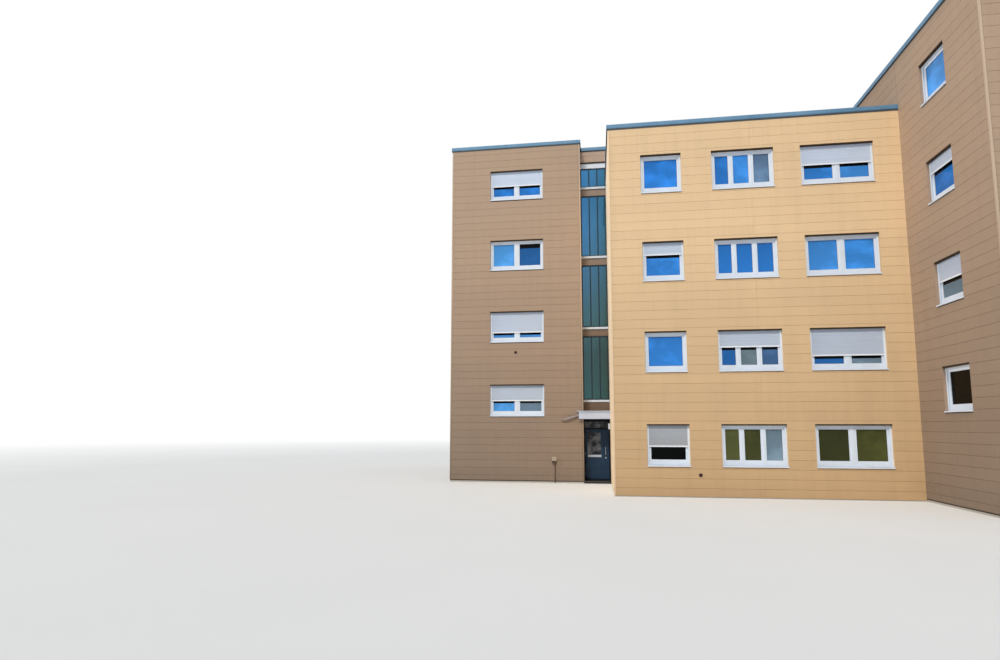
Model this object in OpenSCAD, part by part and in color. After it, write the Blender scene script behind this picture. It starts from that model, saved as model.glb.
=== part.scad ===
// Apartment block: two tall end blocks, a wider middle block half a storey lower, and a glazed
// stair strip in the recess between the left and the middle block. Each block stands one step
// forward of the one on its left. X runs along the street front, Y away from the street, Z up.

/* [Blocks] */
// Height from one floor to the next
storey_h = 2800; // [2600:50:3200]
// Storeys of each block
storeys = 4; // [2:1:5]
// Width of the left block and of the wing
end_w = 5000; // [4600:100:7000]
// Width of the stair strip between the left and the middle block
stair_w = 1000; // [980:10:1400]
// Width of the middle block's front
middle_w = 8530; // [7900:10:11000]
// Depth of each block from its front to its rear
block_d = 10200; // [8800:100:13000]
// How far each block stands forward of its left neighbour
step = 4100; // [3400:100:4600]
// How far the stair strip stands back from the left block's front
recess = 750; // [600:10:1200]
// Middle block's ground floor above the ground
ground_floor = 100; // [60:5:300]
// How much higher the end blocks' floors are than the middle block's
level_offset = 1500; // [1300:10:1700]

/* [Walls and floors] */
// Thickness of the outer walls and cross walls
wall_t = 300; // [240:10:400]
// Thickness of the upper floors and roofs
floor_t = 200; // [160:10:300]
// Parapet top, with its coping, above the roof slab
parapet_h = 300; // [200:10:600]
// Height of the coping's outer edge
coping_h = 140; // [80:5:200]
// Sheet thickness of the coping
coping_t = 8; // [4:1:15]
// Gap between two lengths of coping
coping_joint = 6; // [4:1:12]
// How far the coping stands out from the wall face
coping_out = 45; // [30:5:80]

/* [Windows] */
// Height of the end blocks' window openings
end_window_h = 1200; // [900:10:1500]
// Height of the middle block's window openings
middle_window_h = 1250; // [900:10:1500]
// Width of the two-sash windows
double_w = 2060; // [1800:10:2400]
// Width of the three-sash windows
triple_w = 1830; // [1600:10:2400]
// Width of the single windows
single_w = 1240; // [900:10:1500]
// Underside of the end blocks' windows above their floor
end_sill_h = 840; // [700:10:1000]
// Underside of the middle block's windows above its floor
middle_sill_h = 790; // [700:10:1000]
// Wall between the middle block's left corner and its first window
corner_pier_w = 980; // [700:10:1200]
// Wall between the middle block's single window and its three-sash window
single_pier_w = 900; // [600:10:1000]
// How far the end blocks' front windows sit right of the middle of their wall
end_window_shift = 45; // [0:5:200]
// Side windows, centre from the nearest corner
side_at = 1930; // [1600:10:2200]
// How far a window frame stands back from the wall face
frame_back = 90; // [50:5:130]
// Width of a window's outer frame
frame_w = 55; // [40:1:80]
// Height of the outer frame's lowest member
frame_foot_h = 90; // [60:5:140]
// Depth of a window's outer frame
frame_d = 80; // [60:1:110]
// Width of a sash's stiles and rails
sash_stile = 65; // [45:1:90]
// Width of the post in the two-sash windows
double_post_w = 80; // [40:2:100]
// Width of the posts in the three-sash windows
triple_post_w = 20; // [20:1:60]
// How much narrower the left sash of the three-sash windows is than the other two
left_sash_less = 60; // [0:3:120]
// How far a sash stands back from its outer frame
sash_back = 12; // [6:1:25]
// Thickness of the glass units
glass_t = 24; // [16:1:40]
// Height of a window sill
sill_t = 45; // [30:1:80]
// How far a sill stands out from the wall face
sill_out = 40; // [25:5:80]
// Thickness of a roller shutter's curtain
shutter_t = 14; // [8:1:20]
// Height of one slat of a roller shutter
slat_h = 50; // [35:1:60]
// Width of a roller shutter's guide rails
rail_w = 60; // [45:1:80]
// Height of the slot over a window's frame, which the curtain comes down through
slot_h = 35; // [20:1:60]

/* [Stair strip] */
// Top of a stair glazing's sill above its landing
stair_sill_h = 170; // [100:10:300]
// Height of the boarded panels between two stair glazings
stair_spandrel_h = 270; // [200:10:500]
// Height of the uppermost stair glazing
stair_top_glazing_h = 780; // [500:10:900]
// Height of a stair glazing's sill
stair_sill_t = 80; // [50:5:120]
// Height of the pale band over the uppermost glazing
stair_lintel_h = 200; // [120:10:260]
// Width of the stair glazing's frame members
stair_frame_w = 46; // [30:1:60]
// How far glazing and panels stand back in the strip
stair_back = 25; // [15:5:60]
// Depth of the landings behind the glazing
landing_d = 1500; // [1100:50:2000]

/* [Entrance] */
// Underside of the canopy above the ground
canopy_z = 2340; // [2300:10:2500]
// Height of the canopy's fascia
canopy_h = 270; // [200:10:300]
// How far the canopy stands forward of the left block's front
canopy_out = 160; // [100:10:400]
// How far the canopy runs along the left block's front
canopy_side = 150; // [80:10:300]
// Thickness of the canopy's top plate
canopy_plate_t = 25; // [15:1:40]
// Reach of the arm at the canopy's left end
arm_l = 640; // [400:10:900]
// Height of the doorstep
step_h = 80; // [50:5:90]
// Width of the door frame's members
door_frame_w = 50; // [40:1:70]
// Depth of the door frame
door_frame_d = 80; // [70:1:100]
// Underside of the transom between door leaf and top light, above the ground
transom_z = 1960; // [1900:10:2050]
// Thickness of the door leaf
leaf_t = 60; // [45:1:70]
// Gap round the door leaf
leaf_gap = 10; // [8:1:14]
// Width of the door's glass
door_glass_w = 500; // [350:10:560]
// Height of the door's glass
door_glass_h = 800; // [500:10:850]
// Length of the door's upright pull handle
pull_l = 300; // [200:10:600]

/* [Hidden] */

// Corners of the blocks, with the whole building centred on the origin
total_w = end_w + stair_w + middle_w + end_w;
total_d = block_d + 2 * step;
left_x = -total_w / 2;
stair_x = left_x + end_w;
middle_x = stair_x + stair_w;
wing_x = middle_x + middle_w;
right_x = wing_x + end_w;
wing_y = -total_d / 2;
middle_y = wing_y + step;
left_y = middle_y + step;
strip_y = left_y + recess;
wing_rear_y = wing_y + block_d;
middle_rear_y = middle_y + block_d;
left_rear_y = left_y + block_d;

// Levels
end_floor = ground_floor + level_offset;
middle_top = ground_floor + storeys * storey_h + parapet_h;
end_top = middle_top + level_offset;
end_sill_z = end_floor + end_sill_h;
middle_sill_z = ground_floor + middle_sill_h;

// A window is [centre along the wall, width, sashes, shutters], where shutters gives the share of
// the window that is covered in each row from the ground. A block's heights are [top of its walls,
// underside of its lowest windows, height of its windows]. A wall is [x, y, turn, length, heights,
// windows]; seen from outside it runs from left to right.
WINDOW_AT = 0;
WINDOW_W = 1;
WINDOW_SASHES = 2;
WINDOW_SHUTTERS = 3;
HEIGHTS_TOP = 0;
HEIGHTS_SILL = 1;
HEIGHTS_WINDOW = 2;
WALL_X = 0;
WALL_Y = 1;
WALL_TURN = 2;
WALL_LEN = 3;
WALL_HEIGHTS = 4;
WALL_WINDOWS = 5;

side_run = block_d - 2 * wall_t;
end_shutters = [0.5, 0.67, 0, 0.5];
side_shutters = [0, 0.48, 0.3, 0];
rear_side_shutters = [0.48, 0, 0.3, 0.25];
single_shutters = [0.52, 0, 0.3, 0];
triple_shutters = [0, 0.4, 0, 0];
double_shutters = [0, 0.67, 0, 0.5];
end_window = [[end_w / 2 + end_window_shift, double_w, 2, end_shutters]];
two_side_windows = [[side_at - wall_t, single_w, 1, side_shutters],
    [side_run - side_at + wall_t, single_w, 1, rear_side_shutters]];
triple_x = corner_pier_w + single_w + single_pier_w;
double_pier_w = (middle_w - triple_x - triple_w - double_w) / 2;
middle_windows = [[corner_pier_w + single_w / 2, single_w, 1, single_shutters],
    [triple_x + triple_w / 2, triple_w, 3, triple_shutters],
    [middle_w - double_pier_w - double_w / 2, double_w, 2, double_shutters]];

end_heights = [end_top, end_sill_z, end_window_h];
middle_heights = [middle_top, middle_sill_z, middle_window_h];
left_front = [left_x, left_y, 0, end_w, end_heights, end_window];
left_side = [left_x, left_rear_y - wall_t, -90, side_run, end_heights, two_side_windows];
left_rear = [middle_x + wall_t, left_rear_y, 180, end_w + stair_w + wall_t, end_heights,
    [[stair_w + wall_t + end_w / 2, double_w, 2, end_shutters]]];
stair_side = [middle_x + wall_t, strip_y, 90, block_d - recess - wall_t, end_heights,
    [[block_d - recess - step + side_at, single_w, 1, rear_side_shutters]]];
left_return = [stair_x, left_y + wall_t, 90, recess, end_heights, []];
middle_return = [middle_x, strip_y, -90, step + recess - wall_t, middle_heights, []];
middle_front = [middle_x, middle_y, 0, middle_w, middle_heights, middle_windows];
middle_rear = [wing_x + wall_t, middle_rear_y, 180, middle_w, middle_heights, middle_windows];
middle_east = [wing_x + wall_t, wing_rear_y, 90, step - wall_t, middle_heights,
    [[step - side_at, single_w, 1, side_shutters]]];
wing_front = [wing_x, wing_y, 0, end_w, end_heights, end_window];
wing_west = [wing_x, wing_rear_y - wall_t, -90, side_run, end_heights,
    [[side_run - step + side_at + wall_t, single_w, 1, side_shutters]]];
wing_east = [right_x, wing_y + wall_t, 90, side_run, end_heights, two_side_windows];
wing_rear = [right_x, wing_rear_y, 180, end_w, end_heights, end_window];

left_walls = [left_front, left_side, left_rear, stair_side];
middle_walls = [middle_front, middle_rear, middle_east];
wing_walls = [wing_front, wing_west, wing_east, wing_rear];
glazed_walls = concat(left_walls, middle_walls, wing_walls);

// Windows and roller shutters
rail_d = 28;
rail_lip = 6;
rail_groove = 25;
shutter_clear = 1;
foot_bar_h = 40;
groove_in = 4;
sill_fall = 14;
glass_clear = 0.2;

// Stair strip
strip_levels = [for (k = [1:storeys]) ground_floor + k * storey_h + stair_sill_h];
stair_glazing_h = storey_h - stair_spandrel_h - stair_sill_t;
top_glazing_z = strip_levels[storeys - 1] + stair_top_glazing_h;
strip_panel_y = strip_y + stair_back;
function glazing_h(k) = k < storeys - 1 ? stair_glazing_h : stair_top_glazing_h;

stair_panes = 3;
stair_frame_d = 60;
stair_sill_out = 30;
pane_w = (stair_w - (stair_panes + 1) * stair_frame_w) / stair_panes;

// Door
leaf_x = stair_x + door_frame_w + leaf_gap;
leaf_w = stair_w - 2 * door_frame_w - 2 * leaf_gap;
leaf_y = strip_panel_y + door_frame_d - leaf_t;
leaf_z = ground_floor + leaf_gap;
leaf_h = transom_z - leaf_gap - leaf_z;
top_light_edge = 90;
top_light_top = canopy_z - top_light_edge;
door_stile = 70;
door_top_rail = 120;
door_mid_rail = 150;
door_foot_rail = 130;
door_glass_x = leaf_x + door_stile;
door_glass_z = leaf_z + leaf_h - door_top_rail - door_glass_h;
panel_h = door_glass_z - door_mid_rail - leaf_z - door_foot_rail;
groove_w = 14;
groove_d = 5;
pull_out = 60;
pull_r = 14;
pull_z = 1000;
pull_inset = 130;
pull_post_at = 45;
pull_post_r = 10;
letter_h = 80;
letter_below = 30;
letter_shift = 15;
letter_edge = 12;
letter_groove = 2;
lock_r = 26;
lock_below = 105;
plate_t = 3;
hinge_r = 10;
pin_r = 5;
pin_clear = 0.3;
pin_short = 10;
barrel_h = 50;
barrel_off = 1;
hinge_plate_w = 34;
hinge_plate_t = plate_t + barrel_off;
hinge_x = leaf_x - leaf_gap / 2;
hinge_y = leaf_y + leaf_t + hinge_r + barrel_off;
low_hinge = 200;
high_hinge = 250;
hinge_levels = [leaf_z + low_hinge, leaf_z + leaf_h / 2, leaf_z + leaf_h - high_hinge];

// Canopy and its arm
canopy_edge = 70;
arm_w = 60;
arm_root_up = 170;
arm_root_z = canopy_z + arm_root_up;
arm_root_h = 42;
arm_drop = 166;
arm_end_h = 30;
arm_head_l = 160;
arm_head_h = 60;

// Small pieces on the walls
lamp_w = 80;
lamp_d = 100;
lamp_h = 240;
lamp_z = 1950;
lamp_gap = 40;
lamp_base_t = 12;
vent_r = 55;
vent_pipe_r = 42;
vent_out = 25;
vent_rim = 6;
left_vent_below_sill = 390;
middle_vent_at = 2490;
middle_vent_z = 650;
standpipe_at = 3930;
standpipe_z = 725;
standpipe_w = 144;
standpipe_h = 225;
standpipe_box_out = 90;
standpipe_lid_t = 12;
standpipe_lid_edge = 8;
pipe_r = 15;
pipe_shift = 30;
cut = 20;
$fn = 48;

taupe = "#b0947a";
cream = "#dcbf93";
slate = "#5f8aa0";
white = "#f2f2f0";
shutter_grey = "#ccd2d8";
concrete = "#b9b7b2";
glass_blue = "#6f93a8";
door_blue = "#2c3d50";
steel = "#c8cbce";

// Puts its children in the frame of a wall: X along it, Y into the building from its outer face
module on_wall(wall) {
    translate([wall[WALL_X], wall[WALL_Y], 0])
        rotate([0, 0, wall[WALL_TURN]])
            children();
}

// Repeats its children at each window of a wall. $w and $h are the opening's size, $frame_h is the
// outer frame's height, and $drop is the share of it that the shutter covers
module at_windows(wall) {
    heights = wall[WALL_HEIGHTS];
    $h = heights[HEIGHTS_WINDOW];
    $frame_h = $h - sill_t - slot_h;
    on_wall(wall)
        for (window = wall[WALL_WINDOWS], row = [0:storeys - 1]) {
            shutters = window[WINDOW_SHUTTERS];
            $w = window[WINDOW_W];
            $sashes = window[WINDOW_SASHES];
            $drop = shutters[row % len(shutters)];
            x = window[WINDOW_AT] - $w / 2;
            translate([x, 0, heights[HEIGHTS_SILL] + row * storey_h])
                children();
        }
}

module wall_slab(wall) {
    difference() {
        on_wall(wall)
            cube([wall[WALL_LEN], wall_t, wall[WALL_HEIGHTS][HEIGHTS_TOP] - coping_t]);
        at_windows(wall)
            translate([0, -cut, 0]) {
                cube([$w, wall_t + 2 * cut, $h - slot_h]);
                cube([$w, frame_back + cut, $h]);
            }
    }
}

// Repeats its children at each sash of a window; $sash_w and $sash_h are the sash's outer size
module at_sashes() {
    less = $sashes == 3 ? left_sash_less : 0;
    post_w = $sashes == 3 ? triple_post_w : double_post_w;
    full_w = ($w - 2 * frame_w - ($sashes - 1) * post_w + less) / $sashes;
    $sash_h = $frame_h - frame_w - frame_foot_h;
    for (i = [0:$sashes - 1]) {
        $sash_w = i == 0 ? full_w - less : full_w;
        x = frame_w + i * (full_w + post_w) - (i == 0 ? 0 : less);
        translate([x, 0, sill_t + frame_foot_h])
            children();
    }
}

// Guide rail of the roller shutter: a channel on the frame, open towards the window
module guide_rail() {
    translate([0, 0, sill_t])
        linear_extrude($frame_h)
            difference() {
                translate([0, frame_back - rail_d])
                    square([rail_w, rail_d]);
                translate([rail_w - rail_groove, frame_back - rail_lip - shutter_t - 2 * shutter_clear])
                    square([rail_groove + cut, shutter_t + 2 * shutter_clear]);
            }
}

// Outer frame with its posts, sashes and guide rails, seated on the sill
module window_frame() {
    difference() {
        translate([0, frame_back, sill_t])
            cube([$w, frame_d, $frame_h]);
        at_sashes()
            translate([0, frame_back - cut, 0])
                cube([$sash_w, frame_d + 2 * cut, $sash_h]);
    }
    at_sashes()
        translate([0, frame_back + sash_back, 0])
            difference() {
                cube([$sash_w, frame_d - sash_back, $sash_h]);
                translate([sash_stile, -cut, sash_stile])
                    cube([$sash_w - 2 * sash_stile, frame_d + 2 * cut, $sash_h - 2 * sash_stile]);
            }
    guide_rail();
    translate([$w, 0, 0])
        mirror([1, 0, 0])
            guide_rail();
}

// One glass unit in each sash
module glass_units() {
    inset = sash_stile + glass_clear;
    at_sashes()
        translate([inset, frame_back + sash_back + (frame_d - sash_back - glass_t) / 2, inset])
            cube([$sash_w - 2 * inset, glass_t, $sash_h - 2 * inset]);
}

// Sill with a sloping top that runs out over the wall face
module window_sill() {
    rotate([90, 0, 90])
        linear_extrude($w)
            polygon([[-sill_out, 0], [frame_back + frame_d, 0], [frame_back + frame_d, sill_t],
                [frame_back - rail_d, sill_t], [-sill_out, sill_t - sill_fall]]);
}

// Curtain of a roller shutter: a bar at its foot, then slats with a groove below each
module roller_shutter() {
    slats = floor($drop * $frame_h / slat_h);
    run = $w - 2 * (rail_w - rail_groove + shutter_clear);
    front = frame_back - rail_lip - shutter_clear - shutter_t;
    top = foot_bar_h + slats * slat_h + slot_h;
    grooves = [for (k = 0; k < slats; k = k + 1) each let (z = foot_bar_h + k * slat_h)
        [[0, z], [groove_in, z + groove_in], [0, z + 2 * groove_in]]];
    translate([rail_w - rail_groove + shutter_clear, front, $h - top])
        rotate([90, 0, 90])
            linear_extrude(run)
                polygon(concat([[0, 0]], grooves, [[0, top], [shutter_t, top], [shutter_t, 0]]));
}

// Coping of one wall: an inverted channel with the given outer outline, capped at its ends or open
module coping_run(x0, y0, x1, y1, top, capped, along_x) {
    end_x = capped || !along_x ? coping_t : -cut;
    end_y = capped || along_x ? coping_t : -cut;
    difference() {
        translate([x0, y0, top - coping_h])
            cube([x1 - x0, y1 - y0, coping_h]);
        translate([x0 + end_x, y0 + end_y, top - coping_h - cut])
            cube([x1 - x0 - 2 * end_x, y1 - y0 - 2 * end_y, coping_h - coping_t + cut]);
    }
}

// Copings along X over the front and rear walls, which cap the corners
module cross_coping(x0, x1, y, top) {
    coping_run(x0 - coping_out, y - coping_out, x1 + coping_out, y + wall_t + coping_out, top,
        true, true);
}

// Copings along Y over the side walls, which end a joint short of the others
module side_coping(x, y0, y1, top) {
    coping_run(x - coping_out, y0, x + wall_t + coping_out, y1, top, false, false);
}

// The walls' own volume, which the copings' inner edges are notched round
module wall_volumes(walls) {
    for (wall = walls)
        on_wall(wall)
            cube([wall[WALL_LEN], wall_t, wall[WALL_HEIGHTS][HEIGHTS_TOP] - coping_t]);
}

coping_gap = coping_out + coping_joint;

module left_coping() {
    color(slate)
        difference() {
            union() {
                cross_coping(left_x, stair_x, left_y, end_top);
                cross_coping(left_x, middle_x + wall_t, left_rear_y - wall_t, end_top);
                side_coping(left_x, left_y + wall_t + coping_gap, left_rear_y - wall_t - coping_gap,
                    end_top);
                side_coping(stair_x - wall_t, left_y + wall_t + coping_gap,
                    strip_y + wall_t + coping_out, end_top);
                side_coping(middle_x, strip_y + wall_t + coping_gap,
                    left_rear_y - wall_t - coping_gap, end_top);
                coping_run(stair_x + coping_gap, strip_y - coping_out,
                    middle_x + wall_t + coping_out, strip_y + wall_t + coping_out, end_top,
                    true, true);
            }
            wall_volumes(concat(left_walls, [left_return]));
            head_wall_volume();
        }
}

module middle_coping() {
    color(slate)
        difference() {
            union() {
                cross_coping(middle_x, wing_x - coping_out, middle_y, middle_top);
                cross_coping(middle_x + wall_t + coping_out, wing_x + wall_t,
                    middle_rear_y - wall_t, middle_top);
                side_coping(middle_x, middle_y + wall_t + coping_gap, strip_y, middle_top);
                side_coping(wing_x, wing_rear_y, middle_rear_y - wall_t - coping_gap, middle_top);
            }
            wall_volumes(concat(middle_walls, [middle_return, stair_side, wing_west]));
            strip_box(strip_levels[storeys - 1] - stair_sill_t - coping_joint,
                strip_levels[storeys - 1] + coping_joint, strip_y - stair_sill_out - coping_joint);
        }
}

module wing_coping() {
    color(slate)
        difference() {
            union() {
                cross_coping(wing_x, right_x, wing_y, end_top);
                cross_coping(wing_x, right_x, wing_rear_y - wall_t, end_top);
                for (x = [wing_x, right_x - wall_t])
                    side_coping(x, wing_y + wall_t + coping_gap,
                        wing_rear_y - wall_t - coping_gap, end_top);
            }
            wall_volumes(wing_walls);
        }
}

// Walls
module left_front_wall() { color(taupe) wall_slab(left_front); }
module left_return_wall() { color(taupe) wall_slab(left_return); }
module left_side_wall() { color(taupe) wall_slab(left_side); }
module left_rear_wall() { color(taupe) wall_slab(left_rear); }
module stair_side_wall() { color(taupe) wall_slab(stair_side); }
module middle_return_wall() { color(cream) wall_slab(middle_return); }
module middle_front_wall() { color(cream) wall_slab(middle_front); }
module middle_rear_wall() { color(cream) wall_slab(middle_rear); }
module middle_east_wall() { color(cream) wall_slab(middle_east); }
module wing_front_wall() { color(taupe) wall_slab(wing_front); }
module wing_west_wall() { color(taupe) wall_slab(wing_west); }
module wing_east_wall() { color(taupe) wall_slab(wing_east); }
module wing_rear_wall() { color(taupe) wall_slab(wing_rear); }

// Floors and roofs
module slab(x0, y0, x1, y1, top, thickness) {
    translate([x0, y0, top - thickness])
        cube([x1 - x0, y1 - y0, thickness]);
}

module left_floors() {
    color(concrete)
        for (k = [0:storeys - 1])
            slab(left_x + wall_t, left_y + wall_t, stair_x - wall_t, left_rear_y - wall_t,
                end_floor + k * storey_h, floor_t);
}

module middle_floors() {
    color(concrete)
        for (k = [0:storeys - 1])
            slab(middle_x + wall_t, middle_y + wall_t, wing_x, middle_rear_y - wall_t,
                ground_floor + k * storey_h, k == 0 ? ground_floor : floor_t);
}

module wing_floors() {
    color(concrete)
        for (k = [0:storeys - 1])
            slab(wing_x + wall_t, wing_y + wall_t, right_x - wall_t, wing_rear_y - wall_t,
                end_floor + k * storey_h, floor_t);
}

// The hall's floor and the landings behind the glazing
module stair_landings() {
    color(concrete) {
        slab(stair_x - wall_t, strip_y + wall_t, middle_x, left_rear_y - wall_t, ground_floor,
            ground_floor);
        slab(stair_x, strip_panel_y + door_frame_d, middle_x, strip_y + wall_t, ground_floor,
            ground_floor);
        for (k = [1:storeys - 1])
            slab(stair_x - wall_t, strip_y + wall_t, middle_x, strip_y + wall_t + landing_d,
                ground_floor + k * storey_h, floor_t);
    }
}

module left_roof() {
    color(concrete)
        translate([0, 0, end_top - parapet_h - floor_t])
            linear_extrude(floor_t)
                polygon([[left_x + wall_t, left_y + wall_t], [stair_x - wall_t, left_y + wall_t],
                    [stair_x - wall_t, strip_y + wall_t], [middle_x, strip_y + wall_t],
                    [middle_x, left_rear_y - wall_t], [left_x + wall_t, left_rear_y - wall_t]]);
}

module middle_roof() {
    color(concrete)
        slab(middle_x + wall_t, middle_y + wall_t, wing_x, middle_rear_y - wall_t,
            middle_top - parapet_h, floor_t);
}

module wing_roof() {
    color(concrete)
        slab(wing_x + wall_t, wing_y + wall_t, right_x - wall_t, wing_rear_y - wall_t,
            end_top - parapet_h, floor_t);
}

// Windows
module window_frames() {
    color(white)
        for (wall = glazed_walls)
            at_windows(wall)
                window_frame();
}

module window_glass() {
    color(glass_blue)
        for (wall = glazed_walls)
            at_windows(wall)
                glass_units();
}

module window_sills() {
    color(white)
        for (wall = glazed_walls)
            at_windows(wall)
                window_sill();
}

module roller_shutters() {
    color(shutter_grey)
        for (wall = glazed_walls)
            at_windows(wall)
                roller_shutter();
}

// Stair strip
module strip_box(z0, z1, y0) {
    translate([stair_x, y0, z0])
        cube([stair_w, strip_y + wall_t - y0, z1 - z0]);
}

module head_wall_volume() {
    strip_box(top_glazing_z + stair_lintel_h, end_top - coping_t, strip_y);
}

module stair_head_wall() {
    color(taupe)
        head_wall_volume();
}

module stair_lintel() {
    color(white)
        strip_box(top_glazing_z, top_glazing_z + stair_lintel_h, strip_panel_y);
}

module stair_spandrels() {
    color(taupe)
        for (k = [1:storeys - 1])
            strip_box(strip_levels[k - 1] + glazing_h(k - 1), strip_levels[k] - stair_sill_t,
                strip_panel_y);
}

module door_head_wall() {
    color(taupe)
        strip_box(canopy_z, strip_levels[0] - stair_sill_t, strip_y);
}

module stair_sills() {
    color(white)
        for (z = strip_levels)
            strip_box(z - stair_sill_t, z, strip_y - stair_sill_out);
}

module stair_frames() {
    color("#26333b")
        for (k = [0:storeys - 1])
            translate([stair_x, strip_panel_y, strip_levels[k]])
                difference() {
                    cube([stair_w, stair_frame_d, glazing_h(k)]);
                    for (i = [0:stair_panes - 1])
                        translate([stair_frame_w + i * (pane_w + stair_frame_w), -cut,
                            stair_frame_w])
                            cube([pane_w, stair_frame_d + 2 * cut,
                                glazing_h(k) - 2 * stair_frame_w]);
                }
}

module stair_glass() {
    color("#3f6470")
        for (k = [0:storeys - 1], i = [0:stair_panes - 1])
            translate([stair_x + stair_frame_w + i * (pane_w + stair_frame_w),
                strip_panel_y + (stair_frame_d - glass_t) / 2, strip_levels[k] + stair_frame_w])
                cube([pane_w, glass_t, glazing_h(k) - 2 * stair_frame_w]);
}

// Entrance
module door_frame() {
    color("#1d2228")
        translate([stair_x, strip_panel_y, step_h])
            difference() {
                cube([stair_w, door_frame_d, canopy_z - step_h]);
                translate([door_frame_w, -cut, ground_floor - step_h])
                    cube([stair_w - 2 * door_frame_w, door_frame_d + 2 * cut,
                        transom_z - ground_floor]);
                translate([door_frame_w, -cut, transom_z + door_frame_w - step_h])
                    cube([stair_w - 2 * door_frame_w, door_frame_d + 2 * cut,
                        top_light_top - transom_z - door_frame_w]);
            }
}

module top_light_glass() {
    color(glass_blue)
        translate([stair_x + door_frame_w, strip_panel_y + (door_frame_d - glass_t) / 2,
            transom_z + door_frame_w])
            cube([stair_w - 2 * door_frame_w, glass_t, top_light_top - transom_z - door_frame_w]);
}

module doorstep() {
    color(concrete)
        slab(stair_x, left_y, middle_x, strip_panel_y + door_frame_d, step_h, step_h);
}

// Plan of the canopy: in the recess, and along the left block's front, grown past both by edge
module canopy_plan(edge) {
    polygon([[stair_x - canopy_side - edge, left_y - canopy_out - edge / 2],
        [middle_x, left_y - canopy_out - edge / 2], [middle_x, strip_y], [stair_x, strip_y],
        [stair_x, left_y], [stair_x - canopy_side - edge, left_y]]);
}

module canopy() {
    color(white)
        translate([0, 0, canopy_z]) {
            linear_extrude(canopy_h)
                canopy_plan(0);
            translate([0, 0, canopy_h])
                linear_extrude(canopy_plate_t)
                    canopy_plan(canopy_edge);
        }
}

// Slender arm that slopes down from the canopy's left end, thicker towards its tip
module canopy_arm() {
    color(white)
        translate([stair_x - canopy_side, left_y - canopy_out / 2 + arm_w / 2, arm_root_z])
            rotate([90, 0, 0])
                linear_extrude(arm_w)
                    polygon([[0, 0], [-arm_l, -arm_drop], [-arm_l, -arm_drop - arm_end_h],
                        [-arm_l + arm_head_l, -arm_drop - arm_head_h], [0, -arm_root_h]]);
}

// Bulkhead lamp on the middle block's return: a base plate and a body with a half-round front
module wall_lamp() {
    body_r = lamp_d / 2 - lamp_base_t;
    color(white)
        translate([middle_x, strip_y - lamp_gap - lamp_d / 2, lamp_z]) {
            translate([-lamp_base_t, -lamp_d / 2, 0])
                cube([lamp_base_t, lamp_d, lamp_h]);
            translate([0, 0, lamp_base_t])
                linear_extrude(lamp_h - 2 * lamp_base_t) {
                    translate([body_r - lamp_w, 0])
                        circle(body_r);
                    translate([body_r - lamp_w, -body_r])
                        square([lamp_w - body_r - lamp_base_t / 2, 2 * body_r]);
                }
        }
}

// Vent with a chamfered rim round its recessed pipe
module vent(x, y, z) {
    translate([x, y, z])
        rotate([90, 0, 0])
            rotate_extrude()
                polygon([[0, 0], [vent_r, 0], [vent_r, vent_out - vent_rim],
                    [vent_r - vent_rim, vent_out], [vent_pipe_r, vent_out],
                    [vent_pipe_r, vent_rim], [0, vent_rim]]);
}

module wall_vents() {
    color(white) {
        vent(left_x + end_w / 2, left_y, end_sill_z + storey_h - left_vent_below_sill);
        vent(middle_x + middle_vent_at, middle_y, middle_vent_z);
    }
}

// Pipe that rises from the ground into a box with a lid that stands round past it
module standpipe_box() {
    color(steel)
        translate([left_x + standpipe_at, left_y, 0]) {
            translate([-standpipe_w / 2, standpipe_lid_t - standpipe_box_out, standpipe_z])
                cube([standpipe_w, standpipe_box_out - standpipe_lid_t, standpipe_h]);
            translate([-standpipe_w / 2 - standpipe_lid_edge, -standpipe_box_out,
                standpipe_z - standpipe_lid_edge])
                cube([standpipe_w + 2 * standpipe_lid_edge, standpipe_lid_t,
                    standpipe_h + 2 * standpipe_lid_edge]);
            translate([pipe_shift, -standpipe_box_out / 2, 0])
                cylinder(h = standpipe_z, r = pipe_r);
        }
}

// Door leaf with its glass hole and a lower panel with a groove round it
module entrance_door() {
    color(door_blue)
        difference() {
            translate([leaf_x, leaf_y, leaf_z])
                cube([leaf_w, leaf_t, leaf_h]);
            translate([door_glass_x, leaf_y - cut, door_glass_z])
                cube([door_glass_w, leaf_t + 2 * cut, door_glass_h]);
            translate([door_glass_x, leaf_y - cut, leaf_z + door_foot_rail])
                difference() {
                    cube([door_glass_w, cut + groove_d, panel_h]);
                    translate([groove_w, -cut, groove_w])
                        cube([door_glass_w - 2 * groove_w, 3 * cut, panel_h - 2 * groove_w]);
                }
        }
}

module door_glass() {
    color(glass_blue)
        translate([door_glass_x, leaf_y + (leaf_t - glass_t) / 2, door_glass_z])
            cube([door_glass_w, glass_t, door_glass_h]);
}

// Upright bar on two posts, and the lock's rose below it
module door_pull() {
    color(steel)
        translate([leaf_x + leaf_w - pull_inset, leaf_y, pull_z]) {
            translate([0, -pull_out, 0])
                cylinder(h = pull_l, r = pull_r);
            for (z = [pull_post_at, pull_l - pull_post_at])
                translate([0, 0, z])
                    rotate([90, 0, 0])
                        cylinder(h = pull_out, r = pull_post_r);
            translate([0, 0, -lock_below])
                rotate([90, 0, 0])
                    cylinder(h = 2 * plate_t, r = lock_r);
        }
}

// Plate with a groove round the flap
module letter_plate() {
    color(white)
        translate([door_glass_x + letter_shift, leaf_y - plate_t, door_glass_z - letter_below - letter_h])
            difference() {
                cube([door_glass_w, plate_t, letter_h]);
                translate([letter_edge, -cut, letter_edge])
                    difference() {
                        cube([door_glass_w - 2 * letter_edge, cut + plate_t / 2,
                            letter_h - 2 * letter_edge]);
                        translate([letter_groove, -cut, letter_groove])
                            cube([door_glass_w - 2 * letter_edge - 2 * letter_groove, 3 * cut,
                                letter_h - 2 * letter_edge - 2 * letter_groove]);
                    }
            }
}

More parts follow.
